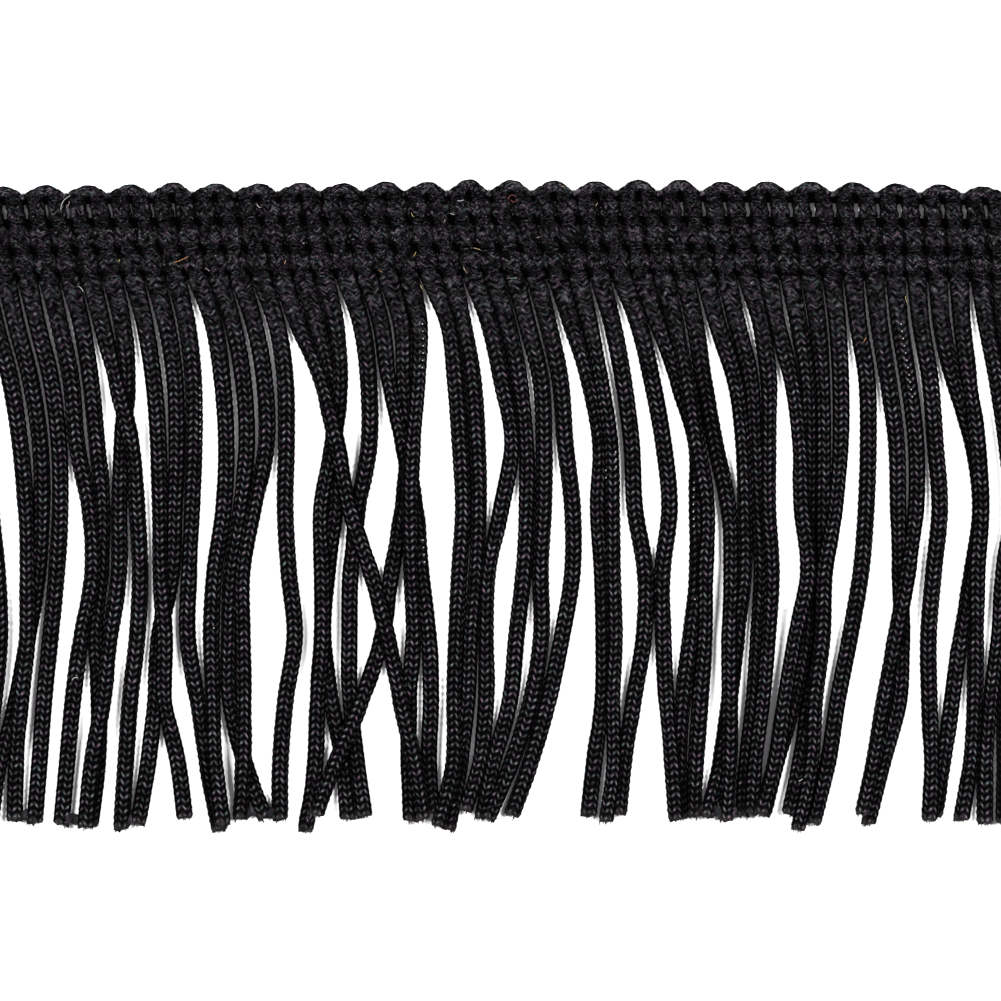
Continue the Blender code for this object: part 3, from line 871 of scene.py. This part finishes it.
def new_material(name):
    material = bpy.data.materials.new(name)
    material.use_nodes = True
    tree = material.node_tree
    return material, tree, tree.nodes["Principled BSDF"]


def noise(tree, scale, detail, offset):
    """A noise texture in object space; scale is in cycles per metre."""
    coords = tree.nodes.new("ShaderNodeTexCoord")
    place = tree.nodes.new("ShaderNodeMapping")
    place.inputs["Location"].default_value = (offset, offset * 0.7, offset * 0.3)
    texture = tree.nodes.new("ShaderNodeTexNoise")
    texture.inputs["Scale"].default_value = scale
    texture.inputs["Detail"].default_value = detail
    texture.inputs["Roughness"].default_value = 0.6
    tree.links.new(coords.outputs["Object"], place.inputs["Vector"])
    tree.links.new(place.outputs["Vector"], texture.inputs["Vector"])
    return texture.outputs["Fac"]


def ramp(tree, value, stops):
    node = tree.nodes.new("ShaderNodeValToRGB")
    elements = node.color_ramp.elements
    elements[0].position, elements[0].color = stops[0]
    elements[1].position, elements[1].color = stops[-1]
    for position, color in stops[1:-1]:
        extra = elements.new(position)
        extra.color = color
    tree.links.new(value, node.inputs["Fac"])
    return node.outputs["Color"]


def grey(level):
    return (level, level, level, 1)


def multiply(tree, first, second):
    node = tree.nodes.new("ShaderNodeMix")
    node.data_type = "RGBA"
    node.blend_type = "MULTIPLY"
    node.inputs["Factor"].default_value = 1.0
    tree.links.new(first, node.inputs[6])
    tree.links.new(second, node.inputs[7])
    return node.outputs[2]


def add_pale(tree, color, share):
    """The colour turning to a pale one where share nears one."""
    node = tree.nodes.new("ShaderNodeMix")
    node.data_type = "RGBA"
    tree.links.new(share, node.inputs["Factor"])
    tree.links.new(color, node.inputs[6])
    node.inputs[7].default_value = PALE
    return node.outputs[2]


def yarn_material(name, offset, grain, rise, level):
    """Black filament yarn from each point's crest, tint and paleness: painted shade in the gaps, glossy
    tinted legs with painted highlights.

    grain and rise are the scale and strength of its specks, level the brightness of the painted highlights
    on its crests.
    """
    material, tree, shader = new_material(name)
    look = tree.nodes.new("ShaderNodeAttribute")
    look.attribute_name = "yarn"
    split = tree.nodes.new("ShaderNodeSeparateColor")
    tree.links.new(look.outputs["Color"], split.inputs["Color"])
    crest, tint, pale = split.outputs
    specks = ramp(tree, noise(tree, grain, 2.0, offset), ((0.3, grey(1.0 - rise)), (0.7, grey(1.0 + rise))))
    # Painted light and shade: the crest channel turns leg tops light and the gaps nearly black.
    lit = multiply(tree, crest, specks)
    shade = ramp(tree, lit, ((0.12, grey(0.0003)), (0.35, grey(0.0065 * level)), (0.65, grey(0.028 * level)),
                             (0.95, grey(0.088 * level))))
    tint_stops = ((0.0, (1.12, 0.9, 1.12, 1)), (0.5, (1, 1, 1.02, 1)), (1.0, (0.92, 1.06, 1.04, 1)))
    tints = ramp(tree, tint, tint_stops)
    fleck_stops = ((0.36, (1.5, 0.8, 1.3, 1)), (0.5, (1, 1, 1, 1)), (0.64, (0.75, 1.2, 1.06, 1)))
    flecks = ramp(tree, noise(tree, FLECK_GRAIN, 1.0, offset + 0.9), fleck_stops)
    tinted = multiply(tree, multiply(tree, shade, tints), flecks)
    tree.links.new(add_pale(tree, tinted, pale), shader.inputs["Base Color"])
    rough = ramp(tree, lit, ((0.15, grey(0.95)), (0.45, grey(0.45)), (0.85, grey(0.26))))
    tree.links.new(rough, shader.inputs["Roughness"])
    shader.inputs["IOR"].default_value = 1.5
    shader.inputs["Specular IOR Level"].default_value = 0.02
    bump = tree.nodes.new("ShaderNodeBump")
    bump.inputs["Strength"].default_value = 0.35
    bump.inputs["Distance"].default_value = FIBRE_DEPTH
    tree.links.new(noise(tree, FIBRE_GRAIN, 3.0, offset + 0.6), bump.inputs["Height"])
    tree.links.new(bump.outputs["Normal"], shader.inputs["Normal"])
    return material


def fibre_and_glint_material():
    """Loose fibres, and white beads that are painted glints, in the colour that each point holds, slightly
    uneven along their length.
    """
    material, tree, shader = new_material("loose_fibre_and_glint")
    look = tree.nodes.new("ShaderNodeAttribute")
    look.attribute_name = "yarn"
    uneven = ramp(tree, noise(tree, 1500.0, 2.0, 0.0), ((0.3, grey(0.6)), (0.7, grey(1.0))))
    tree.links.new(multiply(tree, look.outputs["Color"], uneven), shader.inputs["Base Color"])
    shader.inputs["Roughness"].default_value = 0.5
    return material


def floor_material():
    material, tree, shader = new_material("pale_floor")
    tone = noise(tree, 6.0, 2.0, 0.0)
    levels = ((0.3, (0.86, 0.86, 0.86, 1)), (0.7, (0.88, 0.88, 0.88, 1)))
    tree.links.new(ramp(tree, tone, levels), shader.inputs["Base Color"])
    shader.inputs["Roughness"].default_value = 0.9
    shader.inputs["Specular IOR Level"].default_value = 0.1
    return material


# Stage

def make_floor():
    half = 3.0
    corners = [(-half, -half, 0), (half, -half, 0), (half, half, 0), (-half, half, 0)]
    mesh = bpy.data.meshes.new("floor")
    mesh.from_pydata(corners, [], [(0, 1, 2, 3)])
    mesh.materials.append(floor_material())
    floor = bpy.data.objects.new("floor", mesh)
    floor.location.z = -FLOOR_DROP * MM
    bpy.context.scene.collection.objects.link(floor)


def area_light(name, place, width, depth, share, color=(1.0, 1.0, 1.0)):
    """A soft light aimed at the middle; share is what it adds to the brightness of a white floor."""
    reach = Vector(place).length
    light = bpy.data.lights.new(name, "AREA")
    light.color = color
    light.shape = "RECTANGLE"
    light.size = width
    light.size_y = depth
    light.energy = share * pi * pi * reach ** 3 / place[2]
    lamp = bpy.data.objects.new(name, light)
    lamp.location = place
    lamp.rotation_mode = "QUATERNION"
    lamp.rotation_quaternion = (-Vector(place)).to_track_quat("-Z", "Y")
    lamp.visible_camera = False
    bpy.context.scene.collection.objects.link(lamp)


def make_lights():
    area_light("light_left", (-1.0, 0.25, 1.6), 0.25, 0.5, 1.2)
    area_light("light_right", (1.0, 0.25, 1.6), 0.25, 0.5, 1.2)
    area_light("light_back", (0.0, 1.3, 1.3), 0.4, 0.4, 0.03)
    area_light("light_front", (0.0, -1.3, 1.3), 0.4, 0.4, 0.03)
    area_light("light_above", (0.0, 0.0, 2.0), 0.2, 0.2, 0.07, (1.0, 0.92, 1.0))
    world = bpy.data.worlds.new("studio")
    world.use_nodes = True
    back = world.node_tree.nodes["Background"]
    back.inputs["Color"].default_value = (0.9, 0.92, 0.95, 1)
    back.inputs["Strength"].default_value = 0.03
    bpy.context.scene.world = world
    bpy.context.scene.view_settings.view_transform = "Standard"


def make_camera():
    data = bpy.data.cameras.new("camera")
    data.lens = 180.0
    data.sensor_width = 36.0
    data.clip_start = 0.05
    data.clip_end = 20.0
    camera = bpy.data.objects.new("camera", data)
    distance = VIEW_WIDTH * MM * data.lens / data.sensor_width
    camera.location = (0.0, VIEW_MIDDLE_Y * MM, distance + FACE_LEVEL * MM)
    bpy.context.scene.collection.objects.link(camera)
    bpy.context.scene.camera = camera


def main():
    make_camera()
    make_floor()
    make_lights()
    cord = yarn_material("cord_yarn", offset=0.0, grain=2800.0, rise=0.45, level=1.1)
    gathered = yarn_material("gathered_yarn", offset=1.7, grain=4600.0, rise=0.85, level=0.66)
    stitch = yarn_material("stitching_yarn", offset=3.1, grain=4800.0, rise=0.75, level=0.66)
    heading, strands, tips, lifts = make_cords(cord, gathered)
    carried = strands + make_stitching(stitch)
    carried += [make_frayed_ends(tips, cord), make_fused_ends(tips, cord), make_lint_and_glints(lifts, fibre_and_glint_material())]


main()
